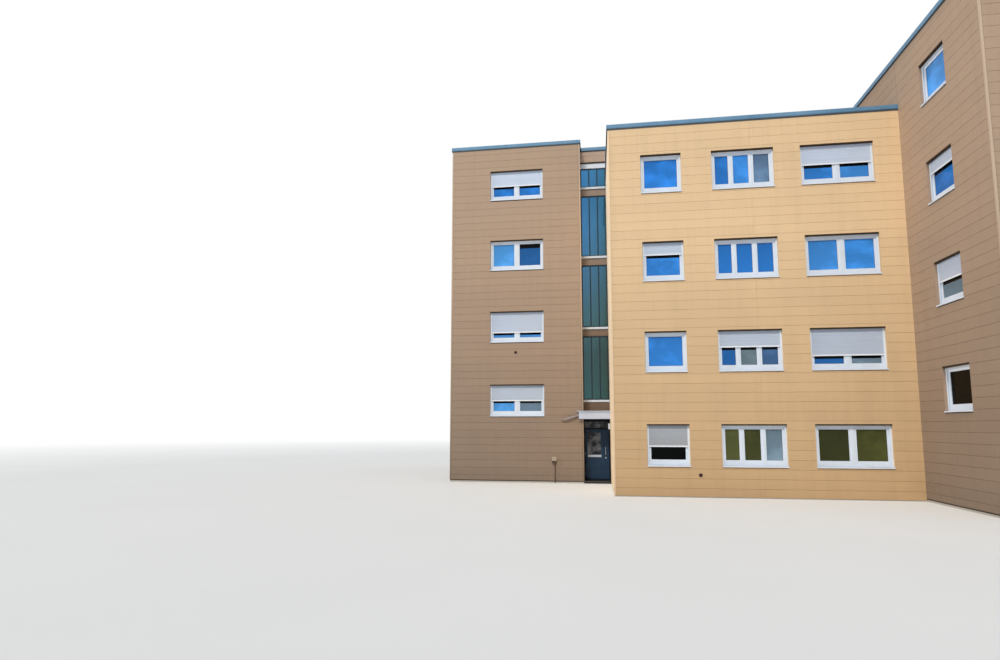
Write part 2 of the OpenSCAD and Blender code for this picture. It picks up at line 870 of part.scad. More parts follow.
// Lower half of each hinge: plate and barrel on the frame, with the pin that the leaf turns on
module frame_hinges() {
    color(steel)
        for (z = hinge_levels)
            translate([hinge_x, hinge_y, z - barrel_h]) {
                cylinder(h = barrel_h, r = hinge_r);
                cylinder(h = 2 * barrel_h - pin_short, r = pin_r);
                translate([-hinge_plate_w, -hinge_r - barrel_off, 0])
                    cube([hinge_plate_w, hinge_plate_t, barrel_h]);
            }
}

// Upper half of each hinge: plate and barrel on the leaf, bored for the pin
module leaf_hinges() {
    color(steel)
        for (z = hinge_levels)
            translate([hinge_x, hinge_y, z + pin_clear])
                difference() {
                    union() {
                        cylinder(h = barrel_h, r = hinge_r);
                        translate([0, -hinge_r - barrel_off, 0])
                            cube([hinge_plate_w, hinge_plate_t, barrel_h]);
                    }
                    translate([0, 0, -cut])
                        cylinder(h = barrel_h + 2 * cut, r = pin_r + pin_clear);
                }
}

left_front_wall();
left_return_wall();
left_side_wall();
left_rear_wall();
stair_side_wall();
middle_return_wall();
middle_front_wall();
middle_rear_wall();
middle_east_wall();
wing_front_wall();
wing_west_wall();
wing_east_wall();
wing_rear_wall();
left_floors();
middle_floors();
wing_floors();
stair_landings();
left_roof();
middle_roof();
wing_roof();
left_coping();
middle_coping();
wing_coping();
window_frames();
window_glass();
window_sills();
roller_shutters();
stair_head_wall();
stair_lintel();
stair_spandrels();
stair_frames();
stair_glass();
stair_sills();
door_head_wall();
door_frame();
top_light_glass();
doorstep();
canopy();
canopy_arm();
wall_lamp();
wall_vents();
standpipe_box();
entrance_door();
door_glass();
door_pull();
letter_plate();
frame_hinges();
leaf_hinges();
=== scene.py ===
"""Apartment block: boarded walls, shuttered windows, the glazed stair strip and the entrance.

Lengths are in metres. The walls, windows and levels are read from the frame, so every board,
lining and pane follows the construction.
"""

import math
import random
from dataclasses import dataclass

import bmesh
import bpy
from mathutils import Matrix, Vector


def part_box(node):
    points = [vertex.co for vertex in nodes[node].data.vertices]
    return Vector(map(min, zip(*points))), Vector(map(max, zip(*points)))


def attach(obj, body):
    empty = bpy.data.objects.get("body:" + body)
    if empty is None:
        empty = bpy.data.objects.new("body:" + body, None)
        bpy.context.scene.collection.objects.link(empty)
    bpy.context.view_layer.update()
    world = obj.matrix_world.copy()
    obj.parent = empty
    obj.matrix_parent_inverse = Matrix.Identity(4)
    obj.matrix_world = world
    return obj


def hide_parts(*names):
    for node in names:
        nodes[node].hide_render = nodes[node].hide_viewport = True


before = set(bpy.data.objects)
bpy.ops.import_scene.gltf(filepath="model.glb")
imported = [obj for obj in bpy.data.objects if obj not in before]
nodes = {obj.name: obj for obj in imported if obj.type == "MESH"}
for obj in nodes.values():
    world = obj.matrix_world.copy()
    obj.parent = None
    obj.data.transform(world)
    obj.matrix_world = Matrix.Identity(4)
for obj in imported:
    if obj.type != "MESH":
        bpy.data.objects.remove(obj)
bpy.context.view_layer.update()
dice = random.Random(7)

# Boards: section, joints, greatest length, what stays bare round them, and the least worth laying
BOARD_T = 0.012
BOARD_CHAMFER = 0.002
BOARD_JOINT = 0.005
BOARD_UPRIGHT_JOINT = 0.003
BOARD_MOST = 5.3
BOARD_UNDER_COPING = 0.17
BOARD_OVER_LINTEL = 0.05
BOARD_UNDER_SILL = 0.03
SLIVER = 0.012

# Courses: height of the first joint, pitch and foot by colour, and the walls' bare strip under them
FIRST_JOINT = 0.267
TAUPE_COURSE = 0.2773
CREAM_COURSE = 0.28
TAUPE_BASE = 0.09
CREAM_BASE = 0.03
BASE_STRIP = 0.05

# Corner profiles: width, thickness, gap to the boards, and reach below them
TRIM_W = 0.034
TRIM_T = 0.014
TRIM_GAP = 0.007
TRIM_DROP = 0.01

# Linings and dark head profiles of the windows' holes, painted dark as the shade under the heads, and
# seals round their panes
LINING_T = 0.003
HEAD_H = 0.042
HEAD_D = 0.058
HEAD_BACK = 0.002
SEAL_W = 0.006
SEAL_T = 0.004

# Foot bars of the curtains, and the lip of the stair's lintel
BAR_H = 0.042
BAR_T = 0.003
BAR_INSET = 0.02
LIP_H = 0.07
LIP_T = 0.004
LIP_INSET = 0.002

# What keeps a thin sheet off the face beside it, and how near two faces count as touching
CLEARANCE = 0.001
TOUCH = 0.01

# Grilles in the mouths of the wall vents, with the share of the opening that a slat spans
GRILLE_R = 0.0415
GRILLE_SIDES = 32
GRILLE_GAP = 0.0005
GRILLE_T = 0.002
SLATS_IN_GRILLE = 5
SLAT_T = 0.003
SLAT_DROP = 0.006
SLAT_OUT = 0.008
SLAT_SPAN = 0.96

# Heights and breadths that the paints follow
BOX_FOOT = 0.15
STEP_NOSE = 0.025
DRIP_EDGE = 0.05
SPLASH_LOW = 0.05
SPLASH_HIGH = 0.7
BOARDS_TOP = 8.0
TAUPE_TOP = 9.0
PANEL_TOP = 13.0
SHUTTER_SHADE_LOW = 1.5
SHUTTER_SHADE_HIGH = 12.0
STRIP_LOW = 3.0
STRIP_HIGH = 12.4
FADE = 0.01
FINE_FADE = 0.005

# Windows: the slot over a frame, its sill, and the wall that holds it
SLOT_H = 0.035
SILL_H = 0.045
WALL_DEPTH = 0.3

# Panes: the shade under a curtain or blind, how far tints run down, and the level with no curtain
CURTAIN_SHADE = 0.08
BLIND_H = 0.17
PANE_TINT_RUN = 0.9
NO_CURTAIN = 1.0

# How dark the panes' painted reflections look, by face and by row from the ground, each row from left to
# right
PANE_TONES = {
    "left_front": ((0.04, 0.84), (0.12, 0.15), (0.06, 0.62), (0.40, 0.36)),
    "middle_front": ((1.0, 0.93, 0.96, 0.86, 0.97, 0.95), (0.3,), (0.3,), (0.36,)),
    "wing_west_front": ((1.0,),),
}

# Face, row and place of the pane with a raised blind, and the range of the other panes' tones
BLIND_AT = ("left_front", 2, 1)
UNLISTED_TONES = (0.1, 0.88)

# Light: the even fill, then name, energy, spread in degrees and direction of each lamp
FILL = 0.44
FILL_COLOUR = (236, 244, 255)
LAMP_COLOUR = (255, 249, 238)
LAMPS = (
    ("key", 1.85, 12, (-0.17, -0.65, 0.74)),
    ("side", 1.0, 20, (-0.92, -0.18, 0.35)),
)

# Floor: half its width, and the distances between which it turns into the white background
FLOOR_REACH = 400.0
FLOOR_FADE = (28.0, 75.0)

# Camera: sensor and lens in millimetres, shift, reach of view, place, and turns in degrees
CAMERA_SENSOR = 36
CAMERA_LENS = 22.632
CAMERA_SHIFT = 0.02476
CAMERA_REACH = 1000
CAMERA_PLACE = (-4.239, -24.49, 2.083)
CAMERA_TURNS = (96.46, -0.029, 8.773)

# Tone and rise of a piece that has none of its own
PLAIN = 0.5

# Digits that are kept where corners or levels are compared
CORNER_DIGITS = 5
LEVEL_DIGITS = 3

# Places of the two corners in a box, and of the axes in a corner
LOW, HIGH = 0, 1
X, Y, Z = 0, 1, 2


def box(node):
    """Lowest and highest corner of a CAD node, as two lists."""
    low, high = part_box(node)
    return list(low), list(high)


def islands(node):
    """The boxes of a node's separate solids, found by the corners that their faces share."""
    mesh = nodes[node].data
    parent = {}

    def root(key):
        while parent[key] != key:
            parent[key] = parent[parent[key]]
            key = parent[key]
        return key

    keys = [tuple(round(c, CORNER_DIGITS) for c in vertex.co) for vertex in mesh.vertices]
    for key in keys:
        parent.setdefault(key, key)
    for polygon in mesh.polygons:
        first = root(keys[polygon.vertices[0]])
        for index in polygon.vertices[1:]:
            parent[root(keys[index])] = first
    groups = {}
    for key in parent:
        groups.setdefault(root(key), []).append(key)
    return sorted(
        ([min(c) for c in zip(*group)], [max(c) for c in zip(*group)])
        for group in groups.values()
    )


class Shape:
    """Gathers the corners and faces of one piece, with values that its material reads."""

    def __init__(self):
        self.corners = []
        self.faces = []
        self.tones = []
        self.rises = []

    def prism(self, *outlines, tone=PLAIN, ring=False):
        """A solid through outlines of as many corners each, between two ends or round as a ring."""
        count = len(outlines[0])
        starts = [len(self.corners) + count * i for i in range(len(outlines))]
        for outline in outlines:
            self.corners += outline
        following = starts[1:] + starts[:1] if ring else starts[1:]
        faces = [
            (a + i, a + (i + 1) % count, b + (i + 1) % count, b + i)
            for a, b in zip(starts, following) for i in range(count)
        ]
        if not ring:
            faces += [tuple(range(end, end + count)) for end in (starts[0], starts[-1])]
        self.faces += faces
        self.tones += [tone] * len(faces)
        self.rises += [PLAIN] * (count * len(outlines))

    def block(self, low, high, tone=PLAIN, level=0.0):
        """A box whose rise value is each corner's height over the given level."""
        foot = [(low[X], low[Y]), (high[X], low[Y]), (high[X], high[Y]), (low[X], high[Y])]
        count = len(foot)
        self.prism([(x, y, low[Z]) for x, y in foot], [(x, y, high[Z]) for x, y in foot], tone=tone)
        self.rises[-2 * count:] = [low[Z] - level] * count + [high[Z] - level] * count

    def piece(self, name, material):
        """Makes the piece, with its faces turned outwards, and lets it ride on the building."""
        mesh = bpy.data.meshes.new(name)
        mesh.from_pydata(self.corners, [], self.faces)
        tone = mesh.attributes.new("tone", "FLOAT", "FACE")
        tone.data.foreach_set("value", self.tones)
        rise = mesh.attributes.new("rise", "FLOAT", "POINT")
        rise.data.foreach_set("value", self.rises)
        work = bmesh.new()
        work.from_mesh(mesh)
        bmesh.ops.recalc_face_normals(work, faces=work.faces)
        work.to_mesh(mesh)
        work.free()
        mesh.materials.append(material)
        made = bpy.data.objects.new(name, mesh)
        bpy.context.scene.collection.objects.link(made)
        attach(made, "building")
        return made


@dataclass
class Face:
    """A flat side of a wall. It runs along one axis and looks along the other, across.

    An end laps over the next face's end, butts against it, or is plain where no corner shows.
    """

    name: str
    finish: str
    across: int
    at: float
    out: int
    start: float
    end: float
    low: float
    high: float
    ends: tuple = ("plain", "plain")
    head_gap: float = BOARD_JOINT / 2

    def is_cream(self):
        """Whether the face has the middle block's boards."""
        return self.finish in ("cream", "sunlit_cream")

    def course(self):
        """The height of one course of boards, from joint to joint."""
        return CREAM_COURSE if self.is_cream() else TAUPE_COURSE

    def foot(self):
        """The height where the boards start."""
        return max(self.low, CREAM_BASE if self.is_cream() else TAUPE_BASE)

    def holds(self, low, high):
        """Whether a part of a window with this box stands in the wall behind the face."""
        middle = [(a + b) / 2 for a, b in zip(low, high)]
        depth = self.out * (self.at - middle[self.across])
        in_length = self.start < middle[1 - self.across] < self.end
        return 0 < depth < WALL_DEPTH and in_length and self.low < middle[Z] < self.high

    def point(self, s, d, z):
        """The place s along the face, d out of it and z up."""
        place = [0.0, 0.0, z]
        place[self.across] = self.at + self.out * d
        place[1 - self.across] = s
        return tuple(place)

    def bar(self, shape, s0, s1, profile):
        """Adds a solid with a profile of (out, up) points between two places along the face."""
        shape.prism(*([self.point(s, d, z) for d, z in profile] for s in (s0, s1)))

    def plate(self, shape, s0, s1, z0, z1, d0, d1):
        """Adds a plain plate between two places along, two heights and two depths."""
        self.bar(shape, s0, s1, [(d0, z0), (d1, z0), (d1, z1), (d0, z1)])


@dataclass
class Hole:
    """A window's hole in a face."""

    start: float
    end: float
    low: float
    high: float


def wall_faces():
    """Every outer side of the walls that shows, with what its two ends meet."""
    left_front, left_side = box("left_front_wall"), box("left_side_wall")
    left_rear, stair_side, head = box("left_rear_wall"), box("stair_side_wall"), box("stair_head_wall")
    middle_return, middle_front = box("middle_return_wall"), box("middle_front_wall")
    middle_rear, middle_east = box("middle_rear_wall"), box("middle_east_wall")
    wing_front, wing_west = box("wing_front_wall"), box("wing_west_wall")
    wing_east, wing_rear = box("wing_east_wall"), box("wing_rear_wall")
    strip_y = box("stair_spandrels")[LOW][Y]
    middle_roof = box("middle_roof")[HIGH][Z]
    tall, short = left_front[HIGH][Z], middle_front[HIGH][Z]
    rows = [
        ("left_front", "taupe", Y, left_front[LOW][Y], -1, left_front[LOW][X],
         left_front[HIGH][X], 0, tall, ("over", "over")),
        ("left_return", "taupe", X, left_front[HIGH][X], 1, left_front[LOW][Y],
         strip_y, 0, tall, ("butt", "plain")),
        ("left_side", "taupe", X, left_side[LOW][X], -1, left_front[LOW][Y],
         left_rear[HIGH][Y], 0, tall, ("butt", "butt")),
        ("left_rear", "taupe", Y, left_rear[HIGH][Y], 1, left_rear[LOW][X],
         left_rear[HIGH][X], 0, tall, ("over", "over")),
        ("stair_side_rear", "taupe", X, stair_side[HIGH][X], 1, middle_rear[HIGH][Y],
         left_rear[HIGH][Y], 0, tall, ("plain", "butt")),
        ("stair_side_upper", "taupe", X, stair_side[HIGH][X], 1, stair_side[LOW][Y],
         middle_rear[HIGH][Y], middle_roof, tall, ("butt", "plain")),
        ("stair_side_end", "taupe", Y, stair_side[LOW][Y], -1, stair_side[LOW][X],
         stair_side[HIGH][X], short, tall, ("plain", "over")),
        ("stair_head", "head", Y, head[LOW][Y], -1, head[LOW][X],
         head[HIGH][X], head[LOW][Z] + BOARD_OVER_LINTEL, tall, ("plain", "plain")),
        ("middle_return", "sunlit_cream", X, middle_return[LOW][X], -1, middle_front[LOW][Y],
         middle_return[HIGH][Y], 0, short, ("butt", "plain")),
        ("middle_front", "cream", Y, middle_front[LOW][Y], -1, middle_front[LOW][X],
         wing_west[LOW][X], 0, short, ("over", "plain")),
        ("middle_rear", "cream", Y, middle_rear[HIGH][Y], 1, stair_side[HIGH][X],
         middle_east[HIGH][X], 0, short, ("plain", "over")),
        ("middle_east", "cream", X, middle_east[HIGH][X], 1, wing_rear[HIGH][Y],
         middle_rear[HIGH][Y], 0, short, ("plain", "butt")),
        ("wing_front", "taupe", Y, wing_front[LOW][Y], -1, wing_front[LOW][X],
         wing_front[HIGH][X], 0, tall, ("over", "over")),
        ("wing_west_front", "taupe", X, wing_west[LOW][X], -1, wing_front[LOW][Y],
         middle_front[LOW][Y], 0, tall, ("butt", "plain")),
        ("wing_west_upper", "taupe", X, wing_west[LOW][X], -1, middle_front[LOW][Y],
         wing_rear[HIGH][Y], middle_roof, tall, ("plain", "butt")),
        ("wing_east", "taupe", X, wing_east[HIGH][X], 1, wing_front[LOW][Y],
         wing_rear[HIGH][Y], 0, tall, ("butt", "butt")),
        ("wing_rear", "taupe", Y, wing_rear[HIGH][Y], 1, middle_east[HIGH][X],
         wing_rear[HIGH][X], 0, tall, ("plain", "over")),
        ("wing_rear_upper", "taupe", Y, wing_rear[HIGH][Y], 1, wing_rear[LOW][X],
         middle_east[HIGH][X], short, tall, ("over", "plain")),
    ]
    return [Face(*row, head_gap=BOARD_UNDER_COPING) for row in rows]


def panel_faces():
    """The boarded panels of the stair strip: between the glazings, and over the door."""
    panels = islands("stair_spandrels") + [box("door_head_wall")]
    return [
        Face(f"stair_panel_{i + 1}", "panel", Y, low[Y], -1, low[X], high[X], low[Z], high[Z])
        for i, (low, high) in enumerate(panels)
    ]


def holes_of(face, frames):
    """The windows' holes in a face, worked out from the boxes of the frames."""
    along = 1 - face.across
    found = [
        Hole(low[along], high[along], low[Z] - SILL_H, high[Z] + SLOT_H)
        for low, high in frames if face.holds(low, high)
    ]
    return sorted(found, key=lambda hole: (hole.start, hole.low))


def free_runs(start, end, low, high, holes):
    """The stretches of a board that the windows leave, each as steps of (start, end, foot, head).

    A window is taller than a board, so where it meets one it takes its foot, its head or both.
    """
    near = [hole for hole in holes if hole.low < high and hole.high > low]
    edges = {s for hole in near for s in (hole.start, hole.end) if start < s < end}
    stops = sorted({start, end} | edges)
    runs = [[]]
    for s0, s1 in zip(stops, stops[1:]):
        foot, head = low, high
        for hole in near:
            if hole.start < (s0 + s1) / 2 < hole.end:
                if hole.low > low:
                    head = hole.low
                else:
                    foot = hole.high
        if head - foot > SLIVER:
            runs[-1].append((s0, s1, foot, head))
        else:
            runs.append([])
    return [run for run in runs if run]


def board_ends(face):
    """Where the boards of a face start and end, inside its corner profiles."""
    inset = TRIM_W + TRIM_GAP
    return (
        face.start + (TRIM_GAP if face.ends[0] == "plain" else inset),
        face.end - (TRIM_GAP if face.ends[1] == "plain" else inset),
    )


def upright_joints(start, end):
    """The places of the boards' upright joints, so that no board is too long."""
    count = math.ceil((end - start) / BOARD_MOST)
    return [start + (end - start) * i / count for i in range(1, count)]


def board_outline(run):
    """A board's corners, as (along, up), from its foot round to its head and its notches."""
    corners = [(s, foot) for s0, s1, foot, _ in run for s in (s0, s1)]
    corners += [(s, head) for s0, s1, _, head in reversed(run) for s in (s1, s0)]
    following = corners[1:] + corners[:1]
    return [
        corner for before, corner, after in zip(corners[-1:] + corners, corners, following)
        if not before[1] == corner[1] == after[1]
    ]


def add_board(shape, face, run, low, high, tone):
    """Adds one board, cut round the windows and chamfered along its own foot and head."""
    outline = board_outline(run)
    shape.prism(
        [face.point(s, 0, z) for s, z in outline],
        [face.point(s, BOARD_T - BOARD_CHAMFER, z) for s, z in outline],
        [face.point(s, BOARD_T, min(max(z, low + BOARD_CHAMFER), high - BOARD_CHAMFER))
         for s, z in outline],
        tone=tone,
    )


def add_boards(shape, face, holes):
    """Lays the courses of one face, each board cut round the windows."""
    pitch = face.course()
    start, end = board_ends(face)
    stops = [start] + upright_joints(start, end) + [end]
    foot = face.foot()
    top = face.high - face.head_gap
    gaps = [Hole(hole.start, hole.end, hole.low - BOARD_UNDER_SILL, hole.high) for hole in holes]
    course = math.floor((foot - FIRST_JOINT) / pitch)
    while FIRST_JOINT + course * pitch < top:
        low = max(foot, FIRST_JOINT + course * pitch + BOARD_JOINT / 2)
        high = min(top, FIRST_JOINT + (course + 1) * pitch - BOARD_JOINT / 2)
        course += 1
        if high - low < SLIVER:
            continue
        for s0, s1 in zip(stops, stops[1:]):
            tone = dice.random()
            gap0 = BOARD_UPRIGHT_JOINT / 2 if s0 > start else 0
            gap1 = BOARD_UPRIGHT_JOINT / 2 if s1 < end else 0
            for run in free_runs(s0 + gap0, s1 - gap1, low, high, gaps):
                add_board(shape, face, run, low, high, tone)


def add_corner_profiles(shape, face):
    """Angle profiles up the outer corners of a face that laps over its neighbours."""
    foot = face.foot() - TRIM_DROP
    top = face.high - face.head_gap
    for s, inward, end in ((face.start, 1, face.ends[0]), (face.end, -1, face.ends[1])):
        if end == "over":
            angle = [(-TRIM_T, TRIM_T), (TRIM_W, TRIM_T), (TRIM_W, 0),
                     (0, 0), (0, -TRIM_W), (-TRIM_T, -TRIM_W)]
            shape.prism(*(
                [face.point(s + inward * a, d, z) for a, d in angle] for z in (foot, top)
            ))


def add_linings(shape, face, holes):
    """Folded sheets that line the two sides of each window's hole, from board to frame."""
    for hole in holes:
        for s, inward in ((hole.start, 1), (hole.end, -1)):
            edge = sorted((s, s + inward * LINING_T))
            foot = hole.low + SILL_H + CLEARANCE
            face.plate(shape, *edge, foot, hole.high, -FRAME_BACK, BOARD_T)


def add_head_shade_profiles(shape, face, holes):
    """Dark profiles at the head of each window's hole, in front of the curtain, painted dark as the shade
    under the head.
    """
    for hole in holes:
        face.plate(shape, hole.start + LINING_T, hole.end - LINING_T, hole.high - HEAD_H, hole.high,
                   -HEAD_D, BOARD_T - HEAD_BACK)


def across_axis(low, high):
    """The axis that a thin box looks along."""
    return X if high[X] - low[X] < high[Y] - low[Y] else Y


# The window frames, the walls' faces, their holes, and how far back in a wall its frames stand
FRAMES = islands("window_frames")
FACES = wall_faces()
HOLES = {face.name: holes_of(face, FRAMES) for face in FACES}
WING_FRONT = next(face for face in FACES if face.name == "wing_front")
FRAME_BACK = min(low[Y] for low, high in FRAMES if WING_FRONT.holds(low, high)) - WING_FRONT.at


def srgb(red, green, blue):
    """The linear colour that a shader takes, from levels of 0 to 255 that the eye sees."""
    return (*((c / 255 / 12.92) if c < 11 else ((c / 255 + 0.055) / 1.055) ** 2.4
              for c in (red, green, blue)), 1.0)


class Paint:
    """A material's node tree, with a short call for each kind of node it needs."""

    def __init__(self, name, roughness, metallic=0.0, alpha=1.0, ior=1.45, mirror=0.5):
        self.material = bpy.data.materials.new(name)
        self.material.use_nodes = True
        self.tree = self.material.node_tree
        self.shader = self.tree.nodes["Principled BSDF"]
        self.shader.inputs["Roughness"].default_value = roughness
        self.shader.inputs["Metallic"].default_value = metallic
        self.shader.inputs["Alpha"].default_value = alpha
        self.shader.inputs["IOR"].default_value = ior
        self.shader.inputs["Specular IOR Level"].default_value = mirror
        self.place = self.add("ShaderNodeTexCoord").outputs["Object"]

    def add(self, kind, inputs=(), **settings):
        """A new node with its settings, and its inputs given as values or linked sockets."""
        node = self.tree.nodes.new(kind)
        for name, value in settings.items():
            setattr(node, name, value)
        for name, value in dict(inputs).items():
            self.put(node.inputs[name], value)
        return node

    def put(self, socket, value):
        """Links a socket into another, or sets the other's own value."""
        if isinstance(value, bpy.types.NodeSocket):
            self.tree.links.new(value, socket)
        else:
            socket.default_value = value

    def stretched(self, scale):
        """Object coordinates, finer or coarser along each axis."""
        return self.add("ShaderNodeMapping", {"Vector": self.place, "Scale": scale}).outputs[0]

    def noise(self, scale, detail, stretch=(1, 1, 1)):
        """Clouds of a value round 0.5."""
        made = self.add("ShaderNodeTexNoise", {
            "Vector": self.stretched(stretch), "Scale": scale, "Detail": detail, "Roughness": 0.55,
        })
        return made.outputs["Fac"]

    def part(self, vector, axis):
        """One axis of a vector, by its letter."""
        return self.add("ShaderNodeSeparateXYZ", {"Vector": vector}).outputs[axis]

    def height(self):
        """Height above the ground."""
        return self.part(self.place, "Z")

    def over(self, level, fade=FADE):
        """A value that turns from 0 to 1 where the height passes a level."""
        return self.spread(self.height(), level, level + fade, 0, 1)

    def value(self, name):
        """A value that the piece's mesh carries."""
        return self.add("ShaderNodeAttribute", attribute_name=name).outputs["Fac"]

    def spread(self, value, low, high, new_low, new_high):
        """Maps one range of a value to another, held at both ends."""
        made = self.add("ShaderNodeMapRange", {
            "Value": value, "From Min": low, "From Max": high, "To Min": new_low, "To Max": new_high,
        })
        return made.outputs[0]

    def maths(self, operation, a, b):
        """The sum, product or such of two values."""
        return self.add("ShaderNodeMath", {0: a, 1: b}, operation=operation).outputs[0]

    def mix(self, factor, a, b, blend="MIX"):
        """Two colours mixed, from the first at a factor of 0 to the second at 1."""
        made = self.add("ShaderNodeMix", data_type="RGBA", blend_type=blend)
        for socket, value in (("Factor_Float", factor), ("A_Color", a), ("B_Color", b)):
            self.put(next(i for i in made.inputs if i.identifier == socket), value)
        return next(o for o in made.outputs if o.identifier == "Result_Color")

    def shade(self, colour, factor):
        """A colour made lighter or darker by a factor."""
        grey = self.add("ShaderNodeCombineColor", {0: factor, 1: factor, 2: factor}).outputs[0]
        return self.mix(1.0, colour, grey, "MULTIPLY")

    def ramp(self, value, stops):
        """Colours at the given stops of a value from 0 to 1."""
        made = self.add("ShaderNodeValToRGB", {"Fac": value})
        band = made.color_ramp
        while len(band.elements) < len(stops):
            band.elements.new(0.5)
        for element, (place, colour) in zip(band.elements, stops):
            element.position = place
            element.color = colour
        return made.outputs["Color"]

    def finish(self, colour, roughness=None, bump=None, depth=0.0, strength=0.0):
        """Links the colour, and where given the roughness and a bump of some depth and strength."""
        self.put(self.shader.inputs["Base Color"], colour)
        if roughness is not None:
            self.put(self.shader.inputs["Roughness"], roughness)
        if bump is not None:
            made = self.add("ShaderNodeBump", {"Height": bump, "Distance": depth, "Strength": strength})
            self.put(self.shader.inputs["Normal"], made.outputs["Normal"])
        return self.material


def board_paint(name, low_colour, high_colour, top=BOARDS_TOP):
    """Painted fibre boards in their own tones, with a fine level grain and soft weathering.

    The colour goes from the low to the high one between the ground and the top height: a painted shade
    that darkens the boards towards the ground.
    """
    paint = Paint(name, roughness=0.72)
    # Painted shade: the boards darken from the top height down to the ground
    up = paint.spread(paint.height(), 0.0, top, 0.0, 1.0)
    colour = paint.mix(up, low_colour, high_colour)
    tone = paint.spread(paint.value("tone"), 0, 1, 0.975, 1.025)
    grain = paint.noise(3.0, 4, (1, 1, 26))
    clouds = paint.noise(0.5, 3)
    streaks = paint.noise(1.0, 3, (5, 5, 0.3))
    colour = paint.shade(colour, tone)
    colour = paint.shade(colour, paint.spread(grain, 0.3, 0.7, 0.975, 1.02))
    colour = paint.shade(colour, paint.spread(clouds, 0.35, 0.65, 0.97, 1.02))
    colour = paint.shade(colour, paint.spread(streaks, 0.45, 0.7, 1.0, 0.96))
    colour = paint.shade(colour, paint.spread(paint.height(), SPLASH_LOW, SPLASH_HIGH, 0.9, 1.0))
    rough = paint.spread(clouds, 0.3, 0.7, 0.62, 0.8)
    return paint.finish(colour, rough, grain, 0.0012, 0.35)


def backing_paint(name, membrane_colour, roof_z):
    """The walls behind the boards: a concrete foot, then a membrane, then felt at the roof."""
    paint = Paint(name, roughness=0.9)
    speckle = paint.noise(40, 5)
    base = paint.mix(speckle, srgb(158, 154, 146), srgb(186, 182, 174))
    membrane = paint.shade(membrane_colour, paint.spread(paint.noise(6, 3), 0.3, 0.7, 0.85, 1.15))
    felt = paint.mix(speckle, srgb(118, 118, 118), srgb(142, 141, 139))
    # The concrete foot ends below the boards' foot, so a strip of dark membrane shows under the boards as
    # a painted shadow line
    colour = paint.mix(paint.over(BASE_STRIP, FINE_FADE), base, membrane)
    colour = paint.mix(paint.over(roof_z - FADE), colour, felt)
    return paint.finish(colour, None, speckle, 0.002, 0.4)


def smooth_paint(name, colour, dirt, roughness, scale=2.0, mirror=0.5, glow=0.0):
    """A smooth painted or moulded surface with faint clouds of dirt and a little unevenness."""
    paint = Paint(name, roughness, mirror=mirror)
    paint.shader.inputs["Emission Color"].default_value = colour
    paint.shader.inputs["Emission Strength"].default_value = glow
    clouds = paint.noise(scale, 4)
    streaks = paint.noise(3.0, 3, (7, 7, 0.8))
    mixed = paint.mix(paint.spread(clouds, 0.45, 0.75, 0, 0.5), colour, dirt)
    mixed = paint.mix(paint.spread(streaks, 0.5, 0.8, 0, 0.35), mixed, dirt)
    rough = paint.spread(clouds, 0.3, 0.7, roughness, roughness + 0.15)
    return paint.finish(mixed, rough, paint.noise(90, 2), 0.0004, 0.2)


def coping_paint(name, foot_z):
    """Blue-grey coated sheet, faded and streaked by the weather, with a painted shade along its drip
    edge.
    """
    paint = Paint(name, roughness=0.45, metallic=0.1)
    bleach = paint.noise(0.8, 4)
    streaks = paint.noise(2.0, 4, (9, 9, 1.2))
    colour = paint.mix(paint.spread(bleach, 0.35, 0.7, 0, 1), srgb(84, 128, 162), srgb(110, 150, 180))
    colour = paint.shade(colour, paint.spread(streaks, 0.4, 0.75, 1.04, 0.9))
    # Painted shade: the lowest strip of the sheet, along its drip edge, is darkened as the shadow line
    # under the coping
    colour = paint.shade(colour, paint.spread(paint.height(), foot_z, foot_z + DRIP_EDGE, 0.45, 1.0))
    return paint.finish(colour, paint.spread(bleach, 0.3, 0.7, 0.38, 0.6), paint.noise(5, 2), 0.002, 0.2)


def gravel_paint():
    """Roof gravel: pale stones, painted darker towards their edges as the shade in the gaps."""
    paint = Paint("roof_gravel", roughness=0.95)
    stones = paint.add("ShaderNodeTexVoronoi", {"Vector": paint.place, "Scale": 28.0})
    patches = paint.noise(0.7, 4)
    colour = paint.mix(stones.outputs["Color"], srgb(150, 147, 140), srgb(196, 192, 184))
    # Painted shade in the gaps between the stones
    colour = paint.shade(colour, paint.spread(stones.outputs["Distance"], 0.0, 0.6, 1.1, 0.6))
    colour = paint.shade(colour, paint.spread(patches, 0.3, 0.7, 0.85, 1.08))
    return paint.finish(colour, None, stones.outputs["Distance"], 0.012, 0.8)


def concrete_paint():
    """Plain concrete with pores and stains."""
    paint = Paint("plain_concrete", roughness=0.88)
    stains = paint.noise(1.6, 5)
    pores = paint.noise(60, 4)
    colour = paint.mix(stains, srgb(164, 160, 152), srgb(196, 191, 182))
    colour = paint.shade(colour, paint.spread(pores, 0.3, 0.7, 0.9, 1.05))
    return paint.finish(colour, None, pores, 0.002, 0.5)


def step_paint():
    """The doorstep, painted near black as the shade under the canopy, with a painted highlight along its
    front edge.
    """
    low, high = box("doorstep")
    paint = Paint("dark_stone", roughness=0.7)
    speckle = paint.noise(60, 4)
    front = paint.spread(paint.part(paint.place, "Y"), low[Y], low[Y] + STEP_NOSE, 1, 0)
    top = paint.over(high[Z] - STEP_NOSE, STEP_NOSE)
    # Painted shade: the stone's near-black stands for the shade under the canopy
    stone = paint.mix(speckle, srgb(10, 11, 10), srgb(30, 29, 26))
    # Painted highlight along the step's front edge
    colour = paint.mix(paint.maths("MULTIPLY", front, top), stone, srgb(96, 95, 90))
    return paint.finish(colour, None, speckle, 0.001, 0.4)


